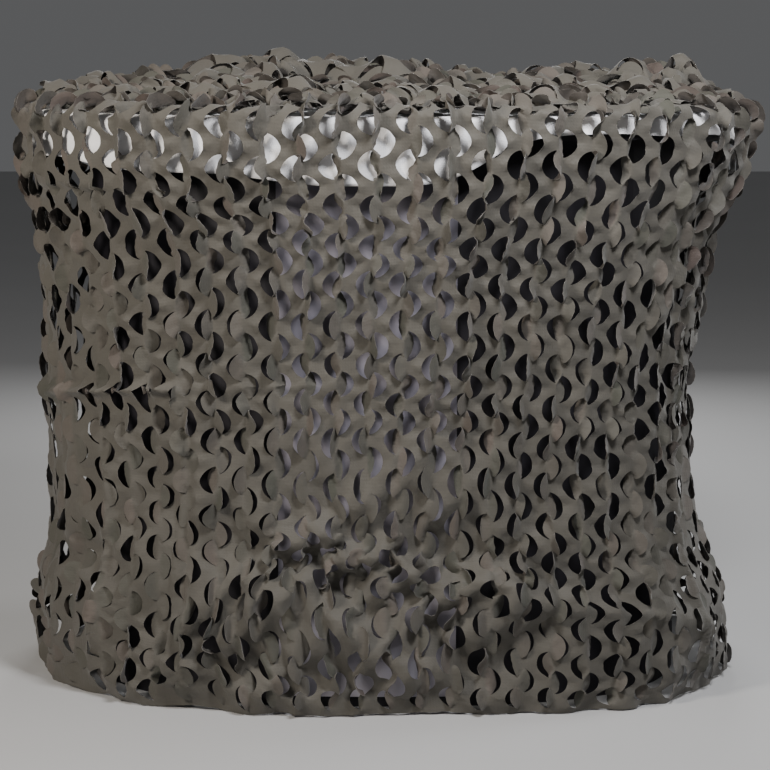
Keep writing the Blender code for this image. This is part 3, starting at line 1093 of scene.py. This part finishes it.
PILE_COLUMNS = 27
PILE_ROWS = 25
PILE_SQUASH = (0.80, 0.82)
PILE_TURN = math.radians(66)
PILE_INSET = 0.030
PILE_DRIFT = 0.016
PILE_CRUMPLE = 0.006
PILE_EDGE = 0.12
PILE_GAP = 0.003
PILE_ROOM = 0.012
(heaped,) = patch.opened(
    seed=11,
    widths=(1.0, 0.84),
    heights=(1.0, 0.86),
    openings=(0.0, 1.15),
    forward=0.85,
    pull=0.05,
    plane=0.0005,
    ripple=0.0002,
    curl=0.02,
)


def lay_pile():
    """Lay the spare cloth over the top, cut back to the oval of the rim."""
    sheet = Sheet(2 * PILE_COLUMNS, PILE_ROWS)
    leave = taken(sheet, heaped)
    pitch = np.array([CELL_WIDTH, CELL_HEIGHT]) * PILE_SQUASH
    flat = (sheet.points - (0.5 * PILE_COLUMNS, 0.5 * PILE_ROWS)) * pitch
    drift = np.stack([soft_waves(flat, 0.22, 10, 31), soft_waves(flat, 0.22, 10, 32)], axis=1)
    place = flat + leave[:, :2] * pitch + PILE_DRIFT * drift
    cosine, sine = math.cos(PILE_TURN), math.sin(PILE_TURN)
    place = place @ np.array([[cosine, sine], [-sine, cosine]])
    bearing = np.arctan2(place[:, 0] / rim_half_width, -place[:, 1] / rim_half_depth)
    right = 0.5 + 0.5 * np.sin(bearing)
    exponent = NET_EXPONENT_LEFT + (NET_EXPONENT_RIGHT - NET_EXPONENT_LEFT) * right
    across = np.abs(place[:, 0]) / (rim_half_width - PILE_INSET)
    along = np.abs(place[:, 1]) / (rim_half_depth - PILE_INSET)
    out = (across**exponent + along**exponent) ** (1 / exponent)
    inner = np.clip((1 - out) / PILE_EDGE, 0, 1)
    crumple = PILE_CRUMPLE * soft_waves(place, 0.10, 16, 33)
    rise = (net_hump(*place.T) + NET_TOP_LIFT + crumple) * inner * inner * (3 - 2 * inner)
    height = rim_height + rise + leave[:, 2] - rim_sag(bearing) * (1 - 0.6 * inner)
    floor = board_high[2] + CLOTH_CLEARANCE + CLOTH_THICKNESS + PILE_GAP
    above = height - floor
    pressed = PILE_ROOM * np.exp((above - PILE_ROOM) / PILE_ROOM)
    height = floor + np.where(height > floor + PILE_ROOM, above, pressed)
    points = np.column_stack([place + net_middle, height])
    keep = (out < 1)[sheet.triangles].all(axis=1)
    sheet.triangles, sheet.owners = sheet.triangles[keep], sheet.owners[keep]
    normals = sheet_normals(sheet, points)
    piece = net_piece("net_top", sheet, points, normals, (0, 2 * PILE_COLUMNS))
    across, along = 2 * (np.array([rim_half_width, rim_half_depth]) - PILE_INSET) / PILE_SQUASH


lay_pile()

# ---------------------------------------------------------------------------------------------
# Studio. A plain pale floor. A soft key light stands high at the front right, a warmer one at the
# front left, and wider ones behind and off the right end. The camera is a little above the rim and
# looks slightly down.
# ---------------------------------------------------------------------------------------------

CAMERA_DISTANCE = 4.455
CAMERA_HEIGHT = 1.346
CAMERA_TILT = math.radians(9.35)
CAMERA_LENS = 118.9
FLOOR_HALF = 12.0


def studio_floor():
    """Wide pale floor just under the object."""
    half = FLOOR_HALF
    corners = [(-half, -half, 0), (half, -half, 0), (half, half, 0), (-half, half, 0)]
    finish = Finish("studio_floor", Roughness=0.8)
    tone = finish.noise(1.2)
    material = finish.feed(Base_Color=finish.mix(tone, (0.40, 0.40, 0.40, 1), (0.43, 0.43, 0.43, 1)))
    floor = new_piece("studio_floor", corners, [(0, 1, 2, 3)], [material])


def soft_light(name, place, aim, size, power, colour):
    """Square softbox that faces a point."""
    light = bpy.data.lights.new(name, "AREA")
    light.size = size
    light.energy = power
    light.color = colour
    lamp = bpy.data.objects.new(name, light)
    lamp.location = place
    lamp.rotation_euler = (Vector(aim) - Vector(place)).to_track_quat("-Z", "Y").to_euler()
    bpy.context.scene.collection.objects.link(lamp)


studio_floor()
soft_light("key_light", (0.65, -1.40, 2.2), (0.1, -0.3, 1.1), 0.45, 56, (0.98, 0.98, 1.0))
soft_light("warm_light", (-1.9, -1.9, 1.9), (-0.3, -0.2, 1.0), 0.6, 66, (1.0, 0.93, 0.84))
soft_light("back_light", (0.2, 3.0, 1.8), (0, 0, 0.7), 1.4, 48, (1.0, 1.0, 1.0))
soft_light("end_light", (3.0, 0.9, 1.7), (0.3, 0, 0.7), 1.2, 38, (1.0, 1.0, 1.0))

world = bpy.data.worlds.new("studio_air")
world.use_nodes = True
background = world.node_tree.nodes["Background"]
background.inputs["Color"].default_value = (0.80, 0.81, 0.83, 1)
background.inputs["Strength"].default_value = 0.13
bpy.context.scene.world = world

lens = bpy.data.cameras.new("camera")
lens.lens = CAMERA_LENS
camera = bpy.data.objects.new("camera", lens)
camera.location = (0, -(rim_half_depth + CAMERA_DISTANCE), CAMERA_HEIGHT)
camera.rotation_euler = (0.5 * math.pi - CAMERA_TILT, 0, 0)
bpy.context.scene.collection.objects.link(camera)
bpy.context.scene.camera = camera
